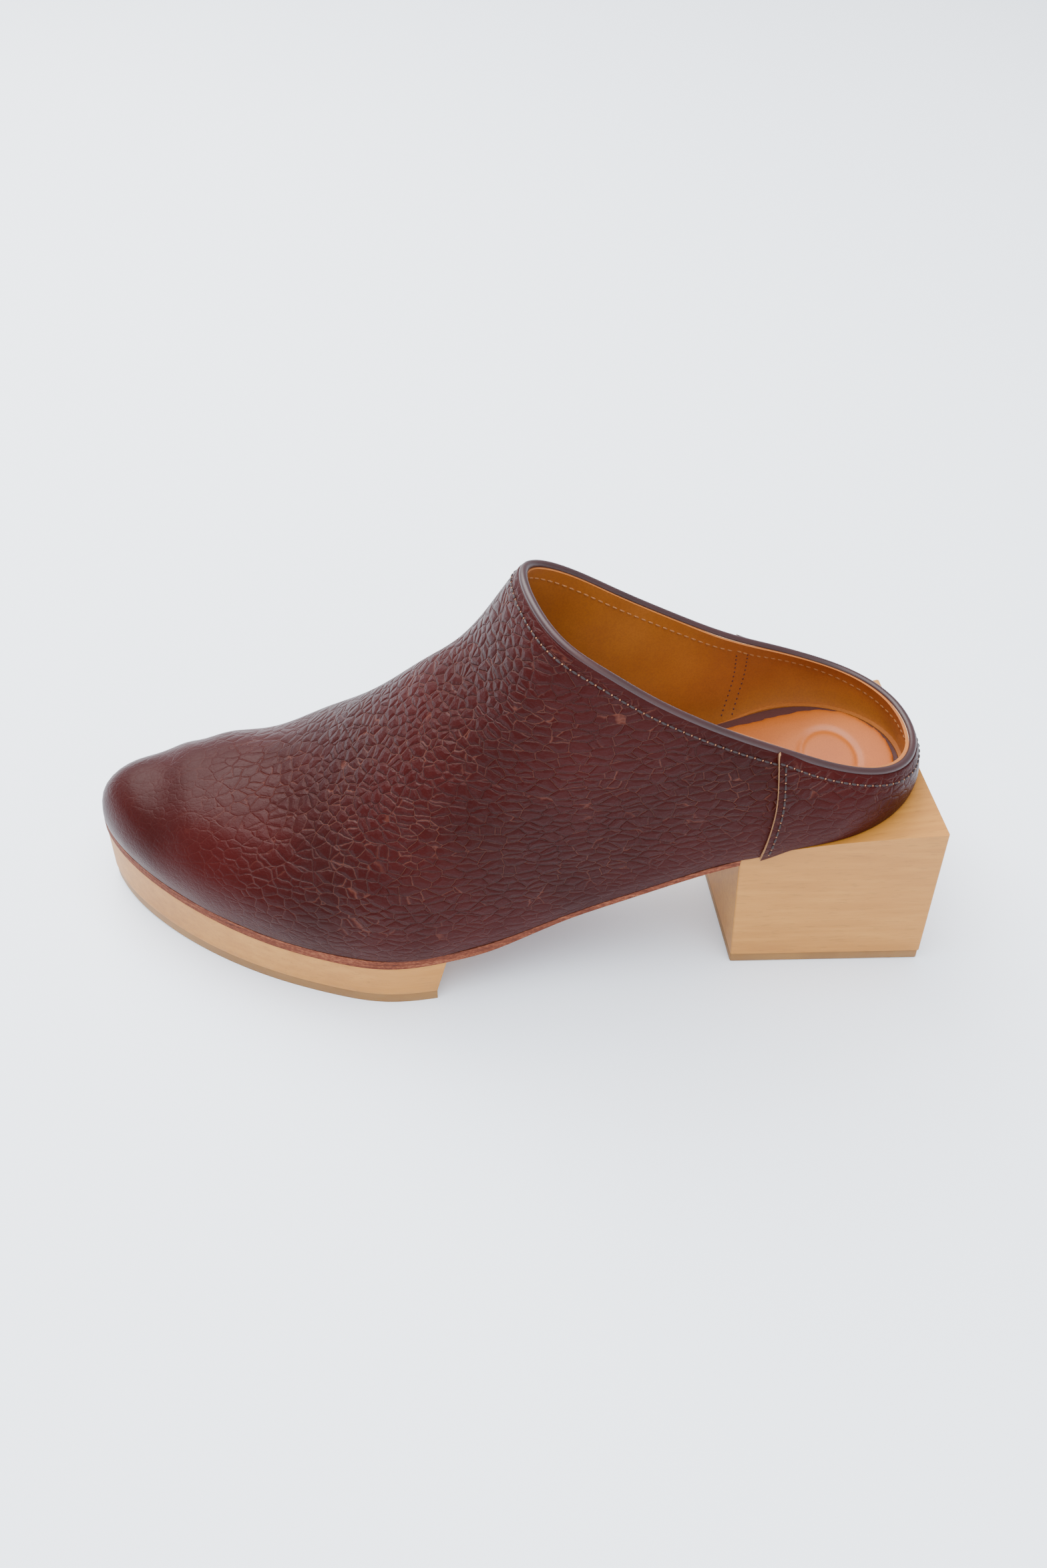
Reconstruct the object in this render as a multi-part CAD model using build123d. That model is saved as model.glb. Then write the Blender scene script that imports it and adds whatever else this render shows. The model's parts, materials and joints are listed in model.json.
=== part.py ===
from build123d import *
from math import cos, sin, pi, sqrt, radians, tan
import os

# Wooden-soled clog, left foot, millimetres.
# Building frame: +X runs from the heel to the toe, +Y to the wearer's left (the outer side),
# +Z up from the tread. X = 0 is the back of the heel block and Y = 0 the middle of the heel.
# At the end everything moves so that the origin is under the middle of the whole clog.

# ---- plan of the foot line, where the upper meets the sole ----
heel_inset = 0.5            # back of the upper, in from the back of the block
heel_depth = 38.0           # back of the heel to its widest place
heel_half_width = 33.3
waist_x = 99.0
waist_outer = 32.0
waist_inner = 27.0
ball_outer_x = 161.0
ball_outer = 37.2
ball_inner_x = 182.0
ball_inner = 54.0
toe_x = 256.8               # front of the foot line
toe_y = -33.0
outer_toe_power = 1.5       # 1 is a straight chamfer, 2 an ellipse
inner_toe_power = 2.2
toe_plan_x = 170.0          # the plan's points crowd towards the toe from here

# ---- heights ----
tread_spring = 1.5          # the tread lifts this much at the toe
spring_start_x = 212.0
outsole_thickness = 4.0
platform_height = 12.1      # wood under the ball
midsole_thickness = 3.4
midsole_waist = 2.0         # pared down between the heel and the platform
pared_to_x = 112.0          # it thickens again from here
full_from_x = 142.0
toe_rise = 5.7              # extra height of the foot line at the toe
seat_back = 55.2            # heel seat above the ground, at its back, middle and front
seat_middle = 52.7
seat_middle_x = 31.0
seat_front = 47.1
shank_height = 32.8         # foot line half way up the waist
shank_x = 104.0
ball_blend = 1.2            # the foot line is still this much higher where the ball begins
ball_flat_start = 144.0
ball_flat_end = 190.0

# ---- wooden heel ----
heel_back_width = 74.0
heel_taper = 5.0            # degrees that each side runs in towards the front
heel_length = 61.5
heel_front_rake = 1.5       # the front face leans back this much at the bottom
heel_lift_thickness = 4.0
edge_round = 0.6            # round on the wooden heel's upright corners
platform_inset = 0.3        # the wood stands this far in from the midsole's edge
rubber_inset = 0.3          # and the rubber this far in from the wood's
platform_rear_x = 153.6
platform_rear_rake = 4.0    # top of the rear face is this much further back

# ---- upper ----
throat_x = 124.5            # front of the foot opening
throat_z = 126.0
topline_back = 67.5         # height of the opening's edge at the back
topline_heel = 73.8
topline_heel_x = 26.0
topline_mid = 85.4
topline_mid_x = 54.0
topline_side = 102.7
topline_side_x = 85.0
side_bulge = 1.2            # the upper stands out past the foot line
ridge_end_x = 237.0         # the toe cap rounds over from here
toe_cap_height = 45.2
toe_tip_height = 31.0
leather = 1.7
stiffener = 0.8
lining = 1.0
seam_x = 53.5               # side seams, at the topline
seam_low_forward = 3.0      # their feet sweep forwards
seam_bow = 0.6              # and their middles bow back
lasting_margin = 13.0       # turned in under the insole, ahead of the heel
margin_start_x = 80.0
puff_rear_x = 214.0
counter_front_x = 78.0

# ---- inside ----
seat_recess = 1.2           # the insole board sinks this far into the heel
seat_ledge = 1.5            # margin left on the heel's seat, round the insole board
hole_clearance = 1.2        # the hole between the margins is cut this far past them
leather_skive = 1.0         # turned-in margins are pared down
stiffener_skive = 0.2
lining_skive = 0.6
board = 1.6
footbed = 1.2
foam = 1.5
sock = 1.2
sock_half_width = 22.5
sock_front_ratio = 0.92     # its front end is this much narrower
sock_front_x = 80.0
sock_back_x = 7.5
sock_border = 1.4
fit = 0.1                   # clearance of hidden pieces
shank_width = 13.0
shank_thickness = 1.2
shank_back_x = 16.0
shank_front_x = 150.0
screw_x = 32.0
screw_length = 30.0
screw_diameter = 4.5
screw_head = 8.0
screw_head_height = 1.0
nail_count = 4
nail_ring = 15.0            # radius of the ring of nails round the screw
nail_length = 24.0
nail_diameter = 1.8
nail_head = 4.0
nail_head_height = 0.7

# ---- thread ----
stitch_pitch = 2.9
stitch_length = 2.1
thread = 0.5
topline_stitch_drop = 3.0
seam_stitch_back = 2.2

OUTER, INNER = 1, -1
seat_centre_x = heel_inset + heel_depth
ball_height = outsole_thickness + platform_height + midsole_thickness
wall = leather + stiffener + lining
margin_total = leather_skive + stiffener_skive + lining_skive
WIDE = 200.0


def ease(x, knots):
    """A smooth curve through the knots that never overshoots them."""
    xs = [k[0] for k in knots]
    ys = [k[1] for k in knots]
    x = min(max(x, xs[0]), xs[-1])
    n = len(xs)
    rise = [(ys[i + 1] - ys[i]) / (xs[i + 1] - xs[i]) for i in range(n - 1)]
    slope = [0.0] * n
    for i in range(1, n - 1):
        if rise[i - 1] * rise[i] > 0:
            slope[i] = 2 * rise[i - 1] * rise[i] / (rise[i - 1] + rise[i])
    if n > 2:
        slope[0] = 1.5 * rise[0] - 0.5 * slope[1]
        slope[-1] = 1.5 * rise[-1] - 0.5 * slope[-2]
    i = 0
    while i < n - 2 and x > xs[i + 1]:
        i += 1
    h = xs[i + 1] - xs[i]
    t = (x - xs[i]) / h
    value = (2 * t**3 - 3 * t**2 + 1) * ys[i] + (3 * t**2 - 2 * t**3) * ys[i + 1]
    return value + h * ((t**3 - 2 * t**2 + t) * slope[i] + (t**3 - t**2) * slope[i + 1])


def quarter(distance, length, width, power):
    """Half width of a rounded end at a distance from its tip."""
    d = min(max(distance / length, 0.0), 1.0)
    return width * (1 - (1 - d) ** power) ** (1 / power)


def foot_line(x):
    """Height of the line where the upper meets the sole."""
    ball_middle = (ball_flat_start + ball_flat_end) / 2
    return ease(x, [
        (0, seat_back), (seat_middle_x, seat_middle), (heel_length, seat_front),
        (shank_x, shank_height), (ball_flat_start, ball_height + ball_blend),
        (ball_middle, ball_height), (ball_flat_end, ball_height + 0.2),
        (toe_x, ball_height + toe_rise)])


def tread(x):
    return ease(x, [(0, 0), (spring_start_x, 0), (toe_x, tread_spring)])


def midsole_base(x):
    return foot_line(x) - ease(x, [(0, midsole_waist), (pared_to_x, midsole_waist),
                                   (full_from_x, midsole_thickness),
                                   (toe_x, midsole_thickness)])


def edge(x, side, inset=0.0):
    """Where the foot line lies across, at x on one side, set in by inset."""
    if x < seat_centre_x:
        half = quarter(x - heel_inset - inset, heel_depth - inset, heel_half_width - inset, 2)
        return side * half
    if side > 0:
        ball_x, ball, waist, power = ball_outer_x, ball_outer, waist_outer, outer_toe_power
    else:
        ball_x, ball, waist, power = ball_inner_x, ball_inner, waist_inner, inner_toe_power
    if x < ball_x:
        knots = [(seat_centre_x, heel_half_width), (waist_x, waist), (ball_x, ball)]
        return side * (ease(x, knots) - inset)
    reach = ball - side * toe_y - inset
    return toe_y + side * quarter(toe_x - inset - x, toe_x - inset - ball_x, reach, power)


def ridge(x):
    """Height of the form's highest line; behind the throat the opening cuts it away."""
    if x < ridge_end_x:
        return ease(x, [
            (heel_inset, seat_back + 5), (1.4, seat_back + 9.5), (3, seat_back + 14),
            (7, seat_back + 20), (13, seat_back + 24.5), (26, topline_heel + 11),
            (54, topline_heel + 33), (80, topline_side + 35), (100, topline_side + 43),
            (112, throat_z + 14), (throat_x, throat_z - 1), (130, throat_z - 12),
            (140, throat_z - 24), (150, throat_z - 35), (160, throat_z - 43.5),
            (170, throat_z - 52.5), (180, throat_z - 60.5), (190, throat_z - 67.5),
            (200, throat_z - 71.5), (210, throat_z - 73.5), (220, throat_z - 75),
            (230, throat_z - 77.5), (ridge_end_x, toe_cap_height)])
    return toe_cap_height


def ridge_across(x):
    return ease(x, [(0, 0), (60, -1), (111, -5), (150, -12), (184, -18), (220, -27),
                    (toe_x, toe_y)])


def roundness(x):
    return ease(x, [(0, 2.0), (54, 2.0), (111, 2.4), (150, 2.2), (200, 2.1), (toe_x, 2.1)])


def form_size(x, inset, skive):
    """Base, widest height, top, middle and roundness of the form's section at x."""
    base = foot_line(x) + skive
    front = toe_x - inset
    closed = ease(x, [(0, 0), (60, 0), (112, 1), (toe_x, 1)])
    slope = ease(x, [(0, 1.0), (throat_x, 1.4), (180, 1.35), (205, 1.0), (toe_x, 1.0)])
    top = ridge(x - inset * (1 - closed)) - inset * closed * slope
    if x > ridge_end_x:
        reach = (x - ridge_end_x) / (front - ridge_end_x)
        top = toe_tip_height + (toe_cap_height - inset - toe_tip_height) * sqrt(1 - reach**2)
    widest = base + min(8.0, 0.25 * (top - base))
    return base, widest, top, ridge_across(x), roundness(x)


def form_half(x, z, side, inset=0.0, skive=0.0):
    """Where the form's surface lies across, at x and z on one side."""
    base, widest, top, middle, power = form_size(x, inset, skive)
    width = abs(edge(x, side, inset) - middle) + side_bulge
    if z < widest:
        t = (z - base) / (widest - base)
        return middle + side * (width - side_bulge * (1 - t) ** 2)
    rise = min((z - widest) / (top - widest), 1.0)
    return middle + side * width * (1 - rise**power) ** (1 / power)


def section(x, inset, skive):
    """One cross-section face of the form: a flat base and a smooth arch.

    Every section gives its points the same parameters, so the loft through them stays light.
    """
    base, widest, top, middle, power = form_size(x, inset, skive)
    angles = [0.0, 0.35, 0.7, 1.05]
    places = [0.0, 0.04, 0.08, 0.18, 0.29, 0.4]
    arch = []
    for side in (OUTER, INNER):
        width = abs(edge(x, side, inset) - middle) + side_bulge
        half = [(x, form_half(x, base, side, inset, skive), base)]
        half.append((x, form_half(x, (base + widest) / 2, side, inset, skive), (base + widest) / 2))
        for a in angles:
            half.append((x, middle + side * width * cos(a) ** (2 / power),
                         widest + (top - widest) * sin(a) ** (2 / power)))
        arch.append(half)
    points = arch[0] + [(x, middle, top)] + arch[1][::-1]
    places = places + [0.5] + [1 - place for place in reversed(places)]
    curve = Edge.make_spline(points, parameters=places)
    return make_face(Wire([curve, Edge.make_line(points[-1], points[0])]))


def form(inset, skive):
    """The foot-shaped solid, set in on all sides by inset, its base raised by skive."""
    back = heel_inset + inset
    front = toe_x - inset
    steps = [0.25, 1.2, 3.5, 8, 16, 28]
    stations = [back + s for s in steps]
    stations += [46, 62, 80, 98, 112, 124, 134, 146, 158, 170, 182, 194, 206, 218, 228]
    stations += [front - s for s in (20, 12.5, 7.5, 4, 1.8, 0.35)]
    return loft([section(x, inset, skive) for x in stations])


def spread(start, end, count):
    return [start + (end - start) * i / (count - 1) for i in range(count)]


def plan_prism(inset, start=-WIDE, end=2 * WIDE):
    """A tall prism on the foot line set in by inset, kept between two places along the foot."""
    back = heel_inset + inset
    front = toe_x - inset
    heel_xs = [back + (seat_centre_x - back) * (1 - cos(pi / 2 * i / 5)) for i in range(5)]
    toe_xs = [front - (front - toe_plan_x) * (1 - sin(pi / 2 * i / 8)) for i in range(9)]
    xs = heel_xs + spread(seat_centre_x, toe_plan_x - 20, 7) + toe_xs
    outer = [(x, edge(x, OUTER, inset)) for x in xs]
    inner = [(x, edge(x, INNER, inset)) for x in reversed(xs[1:-1])]
    prism = extrude(make_face(Spline(*outer, *inner, periodic=True)), amount=WIDE)
    keep = Pos((start + end) / 2, 0, WIDE / 2) * Box(end - start, WIDE, 2 * WIDE)
    return prism & keep


def side_slab(bottom, top, start, end, count=16, flat_to=None):
    """Everything between two heights along the foot, as wide as the clog.

    Up to flat_to, where one is given, both heights are kept dead flat.
    """
    xs = spread(flat_to or start, end, count)
    low = [(x, -WIDE / 2, bottom(x)) for x in xs]
    high = [(x, -WIDE / 2, top(x)) for x in xs]
    edges = [Spline(*low), Line(low[-1], high[-1]), Spline(*high)]
    if flat_to:
        corner_low, corner_high = (start, -WIDE / 2, low[0][2]), (start, -WIDE / 2, high[0][2])
        edges += [Line(low[0], corner_low), Line(corner_low, corner_high),
                  Line(corner_high, high[0])]
    else:
        edges.append(Line(low[0], high[0]))
    return extrude(make_face(Wire(edges)), amount=WIDE, dir=(0, 1, 0))


def heel_plan(inset, height, front_x):
    """The heel's plan, tapering to the front, as a tall block."""
    back = heel_back_width / 2 - inset
    front = heel_back_width / 2 - tan(radians(heel_taper)) * front_x - inset
    corners = [(inset, -back), (front_x - inset, -front), (front_x - inset, front), (inset, back)]
    return extrude(make_face(Polyline(*corners, close=True)), amount=height)


def board_base(x):
    """The insole board's underside: sunk into the heel, on the turned-in margin further on."""
    rise = margin_total + fit
    return foot_line(x) + ease(x, [(0, -seat_recess), (46, -seat_recess), (heel_length - 2, 0.02),
                                   (margin_start_x, rise), (toe_x, rise)])


def make_board():
    slab = side_slab(board_base, lambda x: board_base(x) + board, -5, toe_x)
    return slab & plan_prism(wall + seat_ledge + fit)


def make_footbed():
    under = lambda x: board_base(x) + board
    slab = side_slab(under, lambda x: under(x) + footbed, -5, toe_x)
    return slab & plan_prism(wall + seat_ledge + fit)


def footbed_top(x):
    return board_base(x) + board + footbed


def sock_plan(border):
    """A heel pad: round at the back, narrowing slightly to a rounded front."""
    half = sock_half_width - border
    back = sock_back_x + border
    front = sock_front_x - border
    face = make_hull(Edge.make_circle(half, Plane(origin=(back + half, 0, 0))).edges()
                     + Edge.make_circle(half * sock_front_ratio, Plane(origin=(front - half, 0, 0))).edges())
    return extrude(face, amount=WIDE)


def make_sock():
    top = lambda x: footbed_top(x) + foam + sock
    body = side_slab(footbed_top, top, -5, 110) & sock_plan(0)
    pad = side_slab(footbed_top, lambda x: footbed_top(x) + foam, -5, 110)
    pad &= sock_plan(sock_border)
    return body - pad, pad


def shank_slab(extra=0.0):
    """The steel shank's strip under the insole board, extra thicker all round as a cutter."""
    low = lambda x: board_base(x) - shank_thickness - fit - extra
    high = lambda x: board_base(x) - fit + extra
    slab = side_slab(low, high, shank_back_x - extra, shank_front_x + extra)
    strip = Pos((shank_back_x + shank_front_x) / 2, 0, WIDE / 2) * Box(
        WIDE, shank_width + 2 * extra, 2 * WIDE)
    return slab & strip


def headed_pin(x, y, shaft, length, head, head_height, extra=0.0):
    """A nail or screw with its head let into the insole board's upper face."""
    top = board_base(x) + board
    shank = Pos(x, y, top - length / 2) * Cylinder(shaft / 2 + extra, length + 2 * extra)
    cap = Pos(x, y, top - head_height / 2) * Cylinder(head / 2 + extra, head_height)
    rim = Pos(x, y, top) * Cylinder(head / 2 + extra, 2 * extra) if extra else None
    pin = shank + cap
    return pin + rim if rim else pin


def heel_screws(extra=0.0):
    return headed_pin(screw_x, 0, screw_diameter, screw_length, screw_head, screw_head_height,
                      extra)


def heel_nails(extra=0.0):
    nails = []
    for i in range(nail_count):
        turn = 2 * pi * (i + 0.5) / nail_count
        x, y = screw_x + nail_ring * cos(turn), nail_ring * sin(turn)
        nails.append(headed_pin(x, y, nail_diameter, nail_length, nail_head, nail_head_height,
                                extra))
    return nails


def topline(x):
    """Height of the foot opening's edge, seen from the side."""
    return ease(x, [(0, topline_back), (10, topline_back + 1.8), (topline_heel_x, topline_heel),
                    (topline_mid_x, topline_mid),
                    (topline_side_x, topline_side), (111, throat_z - 6.4),
                    (throat_x, throat_z + 0.5), (throat_x + 14, throat_z + 9)])


def opening_cutter():
    return side_slab(topline, lambda x: throat_z + 80, -8, throat_x + 14, 14)


def seam_line(z):
    """How far forward each side seam lies at a height: upright, then swept to its foot."""
    foot = foot_line(seam_x)
    fall = min(max((topline(seam_x) - z) / (topline(seam_x) - foot), 0), 1)
    return seam_x + seam_low_forward * fall**3 - seam_bow * sin(pi * fall)


def behind_seam():
    """Everything behind the side seams."""
    zs = spread(30, 130, 9)
    line = [(seam_line(z), -WIDE / 2, z) for z in zs]
    rest = Polyline(line[-1], (-20, -WIDE / 2, 130), (-20, -WIDE / 2, 30), line[0])
    ring = Wire([Spline(*line)] + list(rest.edges()))
    return extrude(make_face(ring), amount=WIDE, dir=(0, 1, 0))


def block_between(start, end):
    return Pos((start + end) / 2, 0, WIDE / 2) * Box(end - start, WIDE, 2 * WIDE)


def stitch_solid(point, along, outward):
    """One short stitch, lying on the leather."""
    plane = Plane(origin=point, x_dir=along, z_dir=outward)
    return plane * Box(stitch_length, thread, thread)


def surface_point(x, z, side):
    return Vector(x, form_half(x, z, side), z)


def stitch_row(path, side):
    """Stitches at even steps along a path of (x, z) pairs on the outside of the upper."""
    points = [surface_point(x, z, side) for x, z in path]
    stitches, travelled, due = [], 0.0, stitch_pitch
    for i in range(1, len(points)):
        travelled += (points[i] - points[i - 1]).length
        if travelled < due:
            continue
        due += stitch_pitch
        x, z = path[i]
        along = (points[i] - points[i - 1]).normalized()
        up = surface_point(x, z + 0.4, side) - points[i]
        outward = along.cross(up).normalized()
        if outward.Y * side < 0:
            outward = outward * -1
        centre = points[i] + outward * (thread / 2 + 0.05)
        stitches.append(stitch_solid(centre, along, outward))
    return stitches


def topline_stitches():
    rows = []
    for side in (OUTER, INNER):
        xs = spread(5.0, throat_x - 4, 1200)
        path = [(x, topline(x) - topline_stitch_drop * 1.15) for x in xs]
        rows += stitch_row(path, side)
    return rows


def seam_stitches(side):
    z_top = topline(seam_x) - 5
    z_foot = foot_line(seam_x) + 2.5
    path = [(seam_line(z) - seam_stitch_back, z) for z in spread(z_top, z_foot, 400)]
    return stitch_row(path, side)


def build():
    shapes = {}
    shells = [form(0, 0), form(leather, leather_skive),
              form(leather + stiffener, leather_skive + stiffener_skive),
              form(wall, margin_total)]
    opening = opening_cutter()
    low = side_slab(lambda x: foot_line(x) - hole_clearance,
                    lambda x: foot_line(x) + margin_total + hole_clearance, -5, toe_x + 5, 40)
    hole = low & plan_prism(lasting_margin, margin_start_x, 2 * WIDE)
    seat_hole = low & plan_prism(wall + seat_ledge, -WIDE, margin_start_x)
    rear = behind_seam()
    front = block_between(-20, 300) - rear
    walls = [shells[i] - shells[i + 1] - opening for i in range(3)]
    fronts = [(layer & front) - hole - seat_hole for layer in walls]
    rears = [(layer & rear) - seat_hole for layer in walls]
    shapes["vamp"] = fronts[0]
    shapes["heel_quarter"] = rears[0]
    whole = walls[1] & block_between(-20, counter_front_x)
    shapes["heel_counter"] = whole - seat_hole
    shapes["side_interlining"] = (fronts[1] & block_between(counter_front_x, puff_rear_x))
    shapes["toe_puff"] = fronts[1] & block_between(puff_rear_x, 300)
    shapes["vamp_lining"] = fronts[2]
    shapes["heel_lining"] = rears[2]

    pocket = make_board()
    shank_cut = shank_slab(fit)
    pins = [heel_screws(fit)] + heel_nails(fit)

    plan = plan_prism(0.0)
    midsole = side_slab(midsole_base, foot_line, heel_length, toe_x, 24) & plan
    shapes["leather_midsole"] = midsole - shank_cut

    rubber_top = lambda x: tread(x) + outsole_thickness
    below = side_slab(lambda x: -outsole_thickness, rubber_top, 120, toe_x, 9, spring_start_x)
    rear_face = Polyline((platform_rear_x, -WIDE / 2, -1),
                         (platform_rear_x, -WIDE / 2, outsole_thickness),
                         (platform_rear_x - platform_rear_rake, -WIDE / 2, ball_height),
                         (platform_rear_x, -WIDE / 2, 2 * ball_height),
                         (2 * WIDE, -WIDE / 2, 2 * ball_height), (2 * WIDE, -WIDE / 2, -1),
                         close=True)
    ahead = extrude(make_face(rear_face), amount=WIDE, dir=(0, 1, 0))
    wood = side_slab(lambda x: 0, midsole_base, 120, toe_x, 14) & ahead
    shapes["forefoot_platform"] = (wood & plan_prism(platform_inset)) - below
    rubber = side_slab(tread, rubber_top, 120, toe_x, 9, spring_start_x) & ahead
    shapes["forefoot_outsole"] = rubber & plan_prism(platform_inset + rubber_inset)

    block = heel_plan(0, WIDE, heel_length)
    block &= side_slab(lambda x: heel_lift_thickness, foot_line, -5, heel_length + 5)
    rake = Polyline((-10, -WIDE / 2, 0), (heel_length - heel_front_rake, -WIDE / 2, 0),
                    (heel_length, -WIDE / 2, seat_front), (heel_length, -WIDE / 2, 80),
                    (-10, -WIDE / 2, 80), close=True)
    behind_rake = extrude(make_face(rake), amount=WIDE, dir=(0, 1, 0))
    block &= behind_rake
    block = fillet(block.edges().filter_by(Axis.Z), edge_round)
    block = block - pocket - shank_cut
    for pin in pins:
        block -= pin
    shapes["heel_block"] = block
    lift = heel_plan(rubber_inset, heel_lift_thickness, heel_length) & behind_rake
    shapes["heel_lift"] = lift

    board_solid = pocket
    for pin in pins:
        board_solid -= pin
    shapes["insole_board"] = board_solid
    filler = side_slab(foot_line, board_base, margin_start_x, toe_x - 5)
    filler &= plan_prism(lasting_margin + fit)
    shapes["bottom_filler"] = filler - shank_cut
    shank = shank_slab()
    for pin in pins[:1]:
        shank -= pin
    shapes["shank"] = shank
    shapes["footbed_cover"] = make_footbed()
    shapes["heel_sock"], shapes["sock_foam"] = make_sock()
    shapes["heel_screw"] = heel_screws()
    shapes["heel_nails"] = heel_nails()
    shapes["topline_stitching"] = topline_stitches()
    shapes["outer_seam_stitching"] = seam_stitches(OUTER)
    shapes["inner_seam_stitching"] = seam_stitches(INNER)
    return shapes


def solids_of(shape):
    if isinstance(shape, list):
        return [solid for part in shape for solid in part.solids()]
    return list(shape.solids())


def export(shapes):
    os.makedirs("parts", exist_ok=True)
    shift = Pos(-toe_x / 2, (ball_inner - ball_outer) / 2, 0)
    for name, shape in shapes.items():
        solids = [shift * solid for solid in solids_of(shape)]
        result = solids[0] if len(solids) == 1 else Compound(children=solids)
        result.label = name
        export_step(result, os.path.join("parts", name + ".step"))


export(build())
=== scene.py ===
import json
import math

import bmesh
import bpy
from mathutils import Matrix, Vector
from mathutils.bvhtree import BVHTree

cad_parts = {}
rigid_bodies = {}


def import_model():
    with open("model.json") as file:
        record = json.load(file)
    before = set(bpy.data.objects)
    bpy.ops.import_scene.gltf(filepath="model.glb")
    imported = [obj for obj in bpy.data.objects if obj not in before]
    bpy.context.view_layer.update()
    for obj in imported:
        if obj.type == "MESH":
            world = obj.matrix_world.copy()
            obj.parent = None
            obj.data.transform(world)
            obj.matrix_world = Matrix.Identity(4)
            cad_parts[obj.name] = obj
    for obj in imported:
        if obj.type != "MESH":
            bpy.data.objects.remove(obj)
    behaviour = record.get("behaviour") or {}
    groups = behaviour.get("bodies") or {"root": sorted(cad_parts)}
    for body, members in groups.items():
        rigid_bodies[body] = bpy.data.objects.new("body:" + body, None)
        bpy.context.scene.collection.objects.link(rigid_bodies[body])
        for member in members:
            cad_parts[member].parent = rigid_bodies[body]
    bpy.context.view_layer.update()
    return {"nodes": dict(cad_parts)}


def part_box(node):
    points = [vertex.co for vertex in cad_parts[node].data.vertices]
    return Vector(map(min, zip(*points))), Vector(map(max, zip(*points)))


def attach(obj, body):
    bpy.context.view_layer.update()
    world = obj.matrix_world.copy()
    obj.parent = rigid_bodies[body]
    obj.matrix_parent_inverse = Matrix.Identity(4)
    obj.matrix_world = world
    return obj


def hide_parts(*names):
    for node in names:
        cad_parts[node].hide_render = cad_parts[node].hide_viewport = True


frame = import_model()
nodes = frame["nodes"]
MM = 0.001
SHARP = math.radians(40)     # two faces that meet more sharply than this have an edge


# ---- small tools of the bench ----

def deselect():
    if bpy.context.mode != "OBJECT":
        bpy.ops.object.mode_set(mode="OBJECT")
    bpy.ops.object.select_all(action="DESELECT")


def pick(ob):
    """Makes one piece the only thing selected."""
    deselect()
    ob.select_set(True)
    bpy.context.view_layer.objects.active = ob


def finish_with(ob, kind, **settings):
    """Adds one modifier to a piece and applies it."""
    pick(ob)
    modifier = ob.modifiers.new(kind.title(), kind)
    for key, value in settings.items():
        setattr(modifier, key, value)
    bpy.ops.object.modifier_apply(modifier=modifier.name)


def own_copy(node, name):
    """A copy of a designed part with its loose triangles merged."""
    ob = nodes[node].copy()
    ob.data = nodes[node].data.copy()
    ob.name = name
    ob.parent = None
    for key in list(ob.keys()):
        del ob[key]
    bpy.context.scene.collection.objects.link(ob)
    ob.data.materials.clear()
    pick(ob)
    bpy.ops.object.mode_set(mode="EDIT")
    bpy.ops.mesh.select_all(action="SELECT")
    bpy.ops.mesh.remove_doubles(threshold=0.01 * MM)
    bpy.ops.object.mode_set(mode="OBJECT")
    return ob


def smooth(ob, angle=None):
    pick(ob)
    if angle is None:
        bpy.ops.object.shade_smooth()
    else:
        bpy.ops.object.shade_smooth_by_angle(angle=math.radians(angle))


def dress(ob, finishes):
    """Gives a piece its finishes, in the order of its material slots."""
    while len(ob.data.materials) < len(finishes):
        ob.data.materials.append(None)
    for number, finish in enumerate(finishes):
        ob.data.materials[number] = FINISH[finish]


def put_on(ob, *taken, slot, finishes):
    """Fits a finished piece to the clog in place of the designed parts it stands for."""
    dress(ob, finishes)
    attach(ob, "root")
    if taken:
        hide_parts(*taken)


# ---- finishes ----

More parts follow.
